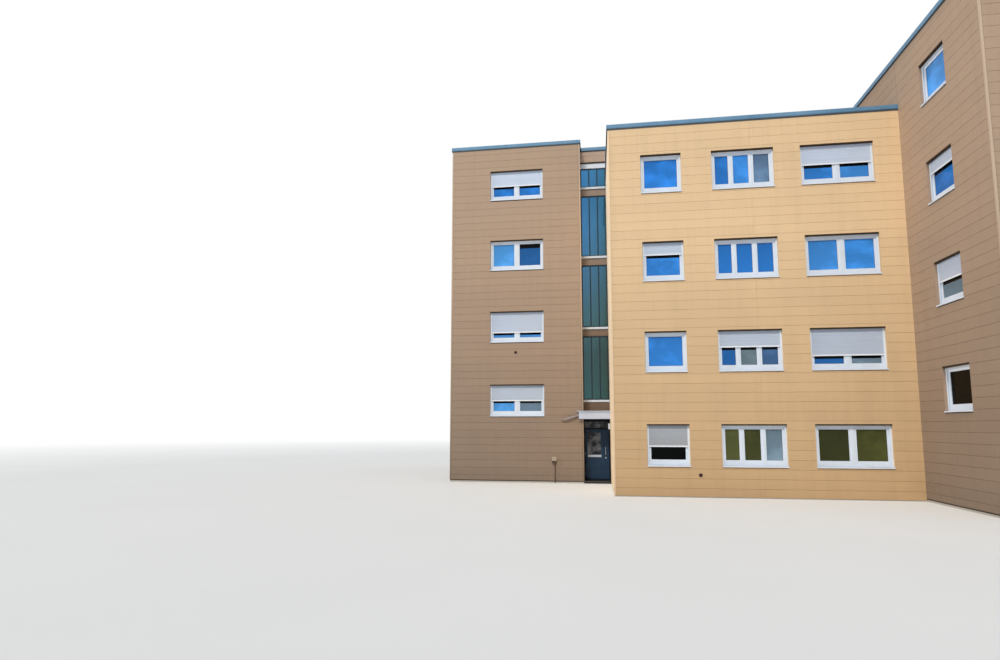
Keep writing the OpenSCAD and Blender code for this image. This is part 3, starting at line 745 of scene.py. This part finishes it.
def sill_paint():
    """White folded sheet, greyer and bluer on its upward faces, partly rain dirt and partly a painted
    reflection of the sky.
    """
    paint = Paint("sill_white", roughness=0.45)
    up = paint.part(paint.add("ShaderNodeNewGeometry").outputs["Normal"], "Z")
    dirt = paint.noise(5.0, 4)
    # Upward faces: partly rain dirt, partly a painted reflection of the sky
    colour = paint.mix(paint.spread(up, 0.3, 0.7, 0, 1), srgb(222, 232, 245), srgb(186, 196, 212))
    colour = paint.shade(colour, paint.spread(dirt, 0.35, 0.7, 1.02, 0.94))
    return paint.finish(colour, paint.spread(dirt, 0.3, 0.7, 0.4, 0.6), dirt, 0.0004, 0.2)


def standpipe_paint():
    """A pale box over a dark foot and pipe, with rust stains."""
    level = box("standpipe_box")[HIGH][Z] - BOX_FOOT
    paint = Paint("standpipe_paint", roughness=0.55)
    rust = paint.noise(14.0, 4)
    dark = paint.mix(rust, srgb(58, 42, 34), srgb(84, 62, 48))
    pale = paint.mix(paint.spread(rust, 0.45, 0.75, 0, 0.6), srgb(174, 162, 144), srgb(130, 102, 78))
    colour = paint.mix(paint.over(level), dark, pale)
    return paint.finish(colour, None, rust, 0.0006, 0.3)


def shutter_paint():
    """Slats with a slight change of tone from one to the next, painted darker and greyer towards the
    ground as shade, with clouds of dust.
    """
    paint = Paint("shutter_slats", roughness=0.5)
    tone = paint.noise(1.0, 1, (0.2, 0.2, 19.0))
    dust = paint.noise(4.0, 4)
    # Painted shade: lower curtains are darker and greyer
    up = paint.spread(paint.height(), SHUTTER_SHADE_LOW, SHUTTER_SHADE_HIGH, 0.0, 1.0)
    colour = paint.ramp(up, [
        (0.00, srgb(158, 161, 166)),
        (0.17, srgb(180, 192, 210)),
        (1.00, srgb(199, 213, 235)),
    ])
    colour = paint.shade(colour, paint.spread(tone, 0.4, 0.6, 0.98, 1.02))
    colour = paint.mix(paint.spread(dust, 0.5, 0.8, 0, 0.25), colour, srgb(186, 186, 184))
    return paint.finish(colour, paint.spread(dust, 0.3, 0.7, 0.4, 0.55), paint.noise(120, 2), 0.0003, 0.2)


def pane_paint():
    """Window panes painted with reflections of the sky or dark trees, black in the shade under a curtain.
    """
    paint = Paint("window_panes", roughness=0.05, ior=1.5, alpha=0.96, mirror=0.07)
    rise = paint.value("rise")
    # The tone picks a painted reflection: sky blue when light, then grey, olive trees and black
    colour = paint.ramp(paint.value("tone"), [
        (0.00, srgb(84, 158, 226)),
        (0.35, srgb(46, 122, 206)),
        (0.70, srgb(36, 84, 140)),
        (0.85, srgb(112, 136, 156)),
        (0.93, srgb(84, 88, 50)),
        (1.00, srgb(4, 5, 5)),
    ])
    # The painted reflection grows darker towards the foot of a curtain
    colour = paint.shade(colour, paint.spread(rise, -PANE_TINT_RUN, 0.0, 1.12, 0.9))
    # Pale clouds: painted reflections of clouds in the sky
    clouds = paint.noise(1.1, 4, (1, 1, 1.4))
    colour = paint.shade(colour, paint.spread(clouds, 0.5, 0.75, 1.0, 1.6))
    shaded = paint.spread(rise, -CURTAIN_SHADE, FINE_FADE - CURTAIN_SHADE, 0, 1)
    colour = paint.mix(shaded, colour, srgb(6, 9, 12))
    return paint.finish(colour, None, paint.noise(1.5, 1), 0.003, 0.1)


def stair_pane_paint():
    """Coated panes of the stair strip, painted with reflections: blue of the sky, greener further down.
    """
    paint = Paint("stair_panes", roughness=0.06, metallic=0.75, ior=1.5, alpha=0.97, mirror=0.15)
    up = paint.spread(paint.height(), STRIP_LOW, STRIP_HIGH, 0, 1)
    wander = paint.noise(0.9, 3, (6, 6, 0.6))
    up = paint.maths("ADD", up, paint.spread(wander, 0.3, 0.7, -0.04, 0.04))
    colour = paint.ramp(up, [
        (0.00, srgb(64, 94, 92)),
        (0.20, srgb(66, 88, 90)),
        (0.32, srgb(74, 106, 112)),
        (0.42, srgb(74, 110, 126)),
        (0.55, srgb(74, 116, 144)),
        (0.72, srgb(72, 126, 168)),
        (0.86, srgb(62, 118, 160)),
        (1.00, srgb(72, 132, 180)),
    ])
    # Lighter and bluer at the left, darker and greener at the right: a painted reflection that also makes
    # up for the left block's shadow
    low, high = box("stair_glass")
    across = paint.spread(paint.part(paint.place, "X"), low[X], high[X], 0, 1)
    tint = paint.mix(across, (1.05, 1.15, 1.25, 1), (0.85, 0.83, 0.72, 1))
    colour = paint.mix(1.0, colour, tint, "MULTIPLY")
    return paint.finish(colour, None, paint.noise(1.2, 1), 0.003, 0.1)


def door_paint():
    """Dark blue powder coat with a fine orange-peel surface."""
    paint = Paint("door_coat", roughness=0.38, mirror=0.25)
    wear = paint.noise(3.0, 4)
    colour = paint.mix(paint.spread(wear, 0.4, 0.7, 0, 1), srgb(30, 54, 80), srgb(38, 65, 93))
    return paint.finish(colour, paint.spread(wear, 0.3, 0.7, 0.3, 0.45), paint.noise(300, 2), 0.0004, 0.3)


def dark_glass_paint():
    """The door's panes, dark with clouds of painted grey reflection."""
    paint = Paint("door_panes", roughness=0.05, ior=1.5, alpha=0.94, mirror=0.2)
    clouds = paint.noise(2.2, 3)
    # Pale clouds are painted reflections
    colour = paint.mix(paint.spread(clouds, 0.44, 0.6, 0, 1), srgb(30, 33, 36), srgb(124, 130, 142))
    return paint.finish(colour, None, paint.noise(2.0, 1), 0.002, 0.1)


def steel_paint():
    """Brushed steel."""
    paint = Paint("brushed_steel", roughness=0.3, metallic=0.9)
    brush = paint.noise(30, 3, (1, 1, 14))
    colour = paint.mix(brush, srgb(168, 170, 172), srgb(206, 208, 210))
    return paint.finish(colour, paint.spread(brush, 0.3, 0.7, 0.25, 0.4), brush, 0.0003, 0.3)


# Heights of the tall blocks' roofs and of the middle block's
TALL_ROOF = box("left_roof")[HIGH][Z]
SHORT_ROOF = box("middle_roof")[HIGH][Z]

# Materials, each made once
TAUPE = board_paint("taupe_boards", srgb(134, 116, 100), srgb(175, 150, 128), TAUPE_TOP)
CREAM = board_paint("cream_boards", srgb(194, 161, 120), srgb(227, 196, 155))
# The middle block's west return: cream painted lighter, a painted light for the sun that falls on it from
# the left
SUNLIT_CREAM = board_paint("bleached_boards", srgb(246, 217, 181), srgb(254, 234, 205))
# The stair head's boards: taupe painted lighter, a painted light that offsets the shade of the recess
HEAD = board_paint("head_boards", srgb(170, 148, 130), srgb(192, 167, 147))
# The stair strip's panels: taupe painted darker, a painted shade of the recess beside the left block
PANEL = board_paint("panel_boards", srgb(101, 77, 54), srgb(160, 144, 132), PANEL_TOP)
TAUPE_TRIM = board_paint("taupe_trim", srgb(128, 110, 94), srgb(198, 176, 154))
CREAM_TRIM = board_paint("cream_trim", srgb(222, 193, 158), srgb(242, 213, 177))
TAUPE_LINING = smooth_paint("taupe_lining", srgb(166, 142, 122), srgb(146, 126, 110), 0.6)
CREAM_LINING = smooth_paint("cream_lining", srgb(214, 182, 142), srgb(196, 166, 130), 0.6)
TALL_BACKING = backing_paint("tall_backing", srgb(66, 55, 47), TALL_ROOF)
SHORT_BACKING = backing_paint("short_backing", srgb(168, 138, 102), SHORT_ROOF)
FRAME_WHITE = smooth_paint("frame_white", srgb(220, 230, 243), srgb(204, 211, 219), 0.4)
BAR_WHITE = smooth_paint("bar_white", srgb(236, 242, 250), srgb(220, 224, 230), 0.4)
SILL_WHITE = sill_paint()
LAMP_WHITE = smooth_paint("lamp_white", srgb(252, 252, 252), srgb(242, 242, 240), 0.3, glow=0.3)
CANOPY_PAINT = smooth_paint("canopy_paint", srgb(188, 198, 217), srgb(176, 184, 198), 0.45)
ARM_GREY = smooth_paint("arm_grey", srgb(152, 144, 144), srgb(118, 104, 96), 0.5)
PLATE_GREY = smooth_paint("plate_grey", srgb(196, 208, 222), srgb(172, 182, 194), 0.4)
LINTEL_PAINT = smooth_paint("lintel_paint", srgb(236, 246, 254), srgb(224, 230, 236), 0.5)
DARK_FRAME = smooth_paint("dark_frame", srgb(17, 23, 31), srgb(30, 36, 42), 0.45, mirror=0.15)
STRIP_FRAME = smooth_paint("strip_frame", srgb(32, 50, 64), srgb(44, 58, 68), 0.45, mirror=0.3)
# Painted shade: the dark brown of the head profiles stands for the shade under the windows' heads
HEAD_SHADE_BROWN = smooth_paint("head_profile", srgb(58, 46, 34), srgb(42, 33, 25), 0.7, mirror=0.2)
RUBBER = smooth_paint("rubber_seal", srgb(26, 26, 27), srgb(48, 47, 45), 0.7)
VENT_BROWN = smooth_paint("vent_cap", srgb(62, 40, 33), srgb(42, 28, 24), 0.6, scale=20.0)
STANDPIPE_PAINT = standpipe_paint()
COPING = {
    name: coping_paint(name, box(name)[LOW][Z])
    for name in ("left_coping", "middle_coping", "wing_coping")
}
GRAVEL = gravel_paint()
CONCRETE = concrete_paint()
SHADED_STEP = step_paint()
SLATS = shutter_paint()
PANES = pane_paint()
STAIR_PANES = stair_pane_paint()
DOOR_COAT = door_paint()
DARK_GLASS = dark_glass_paint()
STEEL = steel_paint()

# Materials of the boards, corner profiles and linings, and slot, of each finish
FINISHES = {
    "taupe": (TAUPE, TAUPE_TRIM, TAUPE_LINING, "taupe_boards"),
    "head": (HEAD, TAUPE_TRIM, TAUPE_LINING, "taupe_boards"),
    "panel": (PANEL, TAUPE_TRIM, TAUPE_LINING, "taupe_boards"),
    "cream": (CREAM, CREAM_TRIM, CREAM_LINING, "cream_boards"),
    "sunlit_cream": (SUNLIT_CREAM, CREAM_TRIM, CREAM_LINING, "cream_boards"),
}

# What the names of the walls' faces start with
BLOCKS = ("left", "stair", "middle", "wing")


def make_boards():
    """The boards of each face as a piece of its own."""
    for face in FACES + panel_faces():
        boards = Shape()
        add_boards(boards, face, HOLES.get(face.name, []))
        material, _, _, slot = FINISHES[face.finish]
        boards.piece(f"{face.name}_boards", material)


def make_corner_profiles():
    """The corner profiles of each block."""
    for block in BLOCKS:
        profiles = Shape()
        faces = [face for face in FACES if face.name.startswith(block)]
        for face in faces:
            add_corner_profiles(profiles, face)
        _, material, _, slot = FINISHES[faces[0].finish]
        profiles.piece(f"{block}_corner_profiles", material)


def make_linings():
    """The linings of the windows' sides, in each block's own colour."""
    for block in BLOCKS:
        faces = [face for face in FACES if face.name.startswith(block) and HOLES[face.name]]
        if not faces:
            continue
        linings = Shape()
        for face in faces:
            add_linings(linings, face, HOLES[face.name])
        _, _, material, slot = FINISHES[faces[0].finish]
        linings.piece(f"{block}_window_linings", material)


def make_head_shade_profiles():
    """The dark profiles at the heads of all windows' holes, painted dark as the shade under the heads."""
    profiles = Shape()
    for face in FACES:
        add_head_shade_profiles(profiles, face, HOLES[face.name])
    profiles.piece("window_head_profiles", HEAD_SHADE_BROWN)


def in_rows(face, boxes):
    """The boxes that stand in a face's wall, by row from the ground and from left to right."""
    mine = [pair for pair in boxes if face.holds(*pair)]
    rows = {}
    for pair in sorted(mine, key=lambda pair: pair[LOW][1 - face.across]):
        rows.setdefault(round(pair[LOW][Z], LEVEL_DIGITS), []).append(pair)
    return [rows[level] for level in sorted(rows)]


def chosen_tones(panes):
    """The tones of the panes that the photograph shows, and the one pane with a raised blind."""
    tones = {}
    blind = None
    for face in FACES:
        shown = PANE_TONES.get(face.name, ())
        for row_at, (row, row_tones) in enumerate(zip(in_rows(face, panes), shown)):
            for pane_at, ((low, _), tone) in enumerate(zip(row, row_tones)):
                tones[tuple(low)] = tone
                if (face.name, row_at, pane_at) == BLIND_AT:
                    blind = tuple(low)
    return tones, blind


def curtain_foot(low, high, curtains):
    """The height of the foot of the curtain in front of a pane."""
    across = across_axis(low, high)
    along = 1 - across
    middle = (low[along] + high[along]) / 2
    return min(
        (foot[Z] for foot, head in curtains
         if foot[along] < middle < head[along] and abs(foot[across] - low[across]) < WALL_DEPTH
         and 0 < head[Z] - high[Z] < WALL_DEPTH),
        default=high[Z] + NO_CURTAIN,
    )


def make_panes():
    """Panes that each have their own tone, in place of the plain glass units."""
    panes = Shape()
    units = islands("window_glass")
    curtains = islands("roller_shutters")
    tones, blind = chosen_tones(units)
    for low, high in units:
        tone = tones.get(tuple(low), dice.uniform(*UNLISTED_TONES))
        level = curtain_foot(low, high, curtains)
        if tuple(low) == blind:
            level = high[Z] - BLIND_H + CURTAIN_SHADE
        panes.block(low, high, tone, level)
    made = panes.piece("window_panes", PANES)
    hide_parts("window_glass")


def make_bars():
    """A white bar on the foot of every curtain."""
    bars = Shape()
    for low, high in islands("roller_shutters"):
        across = across_axis(low, high)
        face = next(face for face in FACES if face.across == across and face.holds(low, high))
        front = face.out * ((high if face.out > 0 else low)[across] - face.at)
        along = 1 - across
        face.plate(bars, low[along] + BAR_INSET, high[along] - BAR_INSET,
                   low[Z] - CLEARANCE, low[Z] + BAR_H, front, front + BAR_T)
    bars.piece("shutter_foot_bars", BAR_WHITE)


def make_lip():
    """The white lip along the foot of the stair's lintel."""
    low, high = box("stair_lintel")
    lip = Shape()
    lip.block((low[X] + LIP_INSET, low[Y] - LIP_T, low[Z] + CLEARANCE),
              (high[X] - LIP_INSET, low[Y], low[Z] + LIP_H))
    lip.piece("stair_lintel_lip", BAR_WHITE)


def make_grilles():
    """Round louvred grilles that close the mouths of the wall vents."""
    grilles = Shape()
    back = BOARD_T + GRILLE_GAP
    front = back + GRILLE_T
    edge = back + SLAT_OUT
    turns = [2 * math.pi * i / GRILLE_SIDES for i in range(GRILLE_SIDES)]
    for low, high in islands("wall_vents"):
        face = next(face for face in FACES if face.out < 0 and face.across == Y
                    and abs(face.at - high[Y]) < TOUCH and face.start < low[X] < face.end)
        x, z = (low[X] + high[X]) / 2, (low[Z] + high[Z]) / 2
        rim = [(x + GRILLE_R * math.cos(turn), z + GRILLE_R * math.sin(turn)) for turn in turns]
        grilles.prism(*([face.point(s, d, up) for s, up in rim] for d in (back, front)))
        for i in range(SLATS_IN_GRILLE):
            rise = GRILLE_R * (2 * (i + 0.5) / SLATS_IN_GRILLE - 1)
            half = SLAT_SPAN * math.sqrt(GRILLE_R ** 2 - rise ** 2)
            root = z + rise
            tip = root - SLAT_DROP
            slat = [(front, root), (edge, tip), (edge, tip + SLAT_T), (front, root + SLAT_T)]
            face.bar(grilles, x - half, x + half, slat)
    grilles.piece("wall_vent_grilles", VENT_BROWN)


def make_seals():
    """Thin dark seals round every pane, on both sides of the glass."""
    seals = Shape()
    for low, high in islands("window_glass"):
        across = across_axis(low, high)
        along = 1 - across
        front, back = low[across] - SEAL_T, high[across] + SEAL_T
        loops = []
        for depth, inset in ((front, 0), (front, SEAL_W), (back, SEAL_W), (back, 0)):
            left, right = low[along] + inset, high[along] - inset
            foot, head = low[Z] + inset, high[Z] - inset
            loops.append([
                (depth, s, z) if across == X else (s, depth, z)
                for s, z in ((left, foot), (right, foot), (right, head), (left, head))
            ])
        seals.prism(*loops, ring=True)
    seals.piece("window_seals", RUBBER)


def paint_nodes():
    """Gives every CAD node that shows its material."""
    walls = [name for name in nodes if name.endswith("_wall")]
    short = [name for name in walls if name.startswith("middle")]
    finishes = {
        TALL_BACKING: [name for name in walls if name not in short] + ["stair_spandrels"],
        SHORT_BACKING: short,
        CONCRETE: ["left_floors", "middle_floors", "wing_floors", "stair_landings"],
        SHADED_STEP: ["doorstep"],
        GRAVEL: ["left_roof", "middle_roof", "wing_roof"],
        FRAME_WHITE: ["window_frames"],
        PLATE_GREY: ["letter_plate"],
        SILL_WHITE: ["window_sills", "stair_sills"],
        LAMP_WHITE: ["wall_lamp"],
        CANOPY_PAINT: ["canopy"],
        ARM_GREY: ["canopy_arm"],
        LINTEL_PAINT: ["stair_lintel"],
        SLATS: ["roller_shutters"],
        STRIP_FRAME: ["stair_frames"],
        DARK_FRAME: ["door_frame"],
        STAIR_PANES: ["stair_glass"],
        DOOR_COAT: ["entrance_door"],
        DARK_GLASS: ["door_glass", "top_light_glass"],
        STEEL: ["door_pull", "frame_hinges", "leaf_hinges"],
        STANDPIPE_PAINT: ["standpipe_box"],
        VENT_BROWN: ["wall_vents"],
    }
    finishes.update({material: [name] for name, material in COPING.items()})
    for material, names in finishes.items():
        for name in names:
            slots = nodes[name].data.materials
            slots.clear()
            slots.append(material)


def make_floor():
    """A pale floor that runs into the white background and keeps the shadow."""
    mesh = bpy.data.meshes.new("floor")
    corners = [(x * FLOOR_REACH, y * FLOOR_REACH, 0) for x, y in ((-1, -1), (1, -1), (1, 1), (-1, 1))]
    mesh.from_pydata(corners, [], [(0, 1, 2, 3)])
    floor = bpy.data.objects.new("floor", mesh)
    bpy.context.scene.collection.objects.link(floor)
    paint = Paint("floor", roughness=0.9)
    paint.finish(paint.mix(paint.noise(0.2, 2), srgb(224, 226, 228), srgb(230, 232, 234)))
    glow = paint.add("ShaderNodeEmission", {"Color": (1, 1, 1, 1), "Strength": 1.0})
    length = paint.add("ShaderNodeVectorMath", {0: paint.place}, operation="LENGTH").outputs["Value"]
    far = paint.spread(length, *FLOOR_FADE, 0.0, 1.0)
    both = paint.add("ShaderNodeMixShader", {"Fac": far})
    paint.put(both.inputs[1], paint.shader.outputs[0])
    paint.put(both.inputs[2], glow.outputs[0])
    paint.put(paint.tree.nodes["Material Output"].inputs["Surface"], both.outputs[0])
    mesh.materials.append(paint.material)


def make_light():
    """Two broad soft lamps from the front and the left, and an even fill before white."""
    world = bpy.data.worlds.new("studio")
    bpy.context.scene.world = world
    world.use_nodes = True
    tree = world.node_tree
    tree.nodes.clear()
    path = tree.nodes.new("ShaderNodeLightPath")
    seen = path.outputs["Is Camera Ray"]
    for name in ("Is Glossy Ray", "Is Transmission Ray"):
        either = tree.nodes.new("ShaderNodeMath")
        either.operation = "MAXIMUM"
        tree.links.new(seen, either.inputs[0])
        tree.links.new(path.outputs[name], either.inputs[1])
        seen = either.outputs[0]
    fill = tree.nodes.new("ShaderNodeBackground")
    fill.inputs["Strength"].default_value = FILL
    fill.inputs["Color"].default_value = srgb(*FILL_COLOUR)
    white = tree.nodes.new("ShaderNodeBackground")
    white.inputs["Strength"].default_value = 1.0
    white.inputs["Color"].default_value = (1, 1, 1, 1)
    choice = tree.nodes.new("ShaderNodeMixShader")
    out = tree.nodes.new("ShaderNodeOutputWorld")
    tree.links.new(seen, choice.inputs["Fac"])
    tree.links.new(fill.outputs[0], choice.inputs[1])
    tree.links.new(white.outputs[0], choice.inputs[2])
    tree.links.new(choice.outputs[0], out.inputs["Surface"])
    for name, energy, angle, come_from in LAMPS:
        lamp = bpy.data.lights.new(name, "SUN")
        lamp.energy = energy
        lamp.angle = math.radians(angle)
        lamp.color = srgb(*LAMP_COLOUR)[:3]
        holder = bpy.data.objects.new(name, lamp)
        bpy.context.scene.collection.objects.link(holder)
        holder.rotation_euler = Vector(come_from).to_track_quat("Z", "Y").to_euler()


def make_camera():
    """The photograph's own view, solved from the corners of the blocks and windows."""
    data = bpy.data.cameras.new("camera")
    data.sensor_width = CAMERA_SENSOR
    data.lens = CAMERA_LENS
    data.shift_y = CAMERA_SHIFT
    data.clip_end = CAMERA_REACH
    camera = bpy.data.objects.new("camera", data)
    bpy.context.scene.collection.objects.link(camera)
    camera.location = CAMERA_PLACE
    camera.rotation_euler = [math.radians(turn) for turn in CAMERA_TURNS]
    bpy.context.scene.camera = camera


make_boards()
make_corner_profiles()
make_linings()
make_head_shade_profiles()
make_panes()
make_bars()
make_lip()
make_grilles()
make_seals()
paint_nodes()
make_floor()
make_light()
make_camera()

bpy.context.scene.view_settings.view_transform = "Standard"
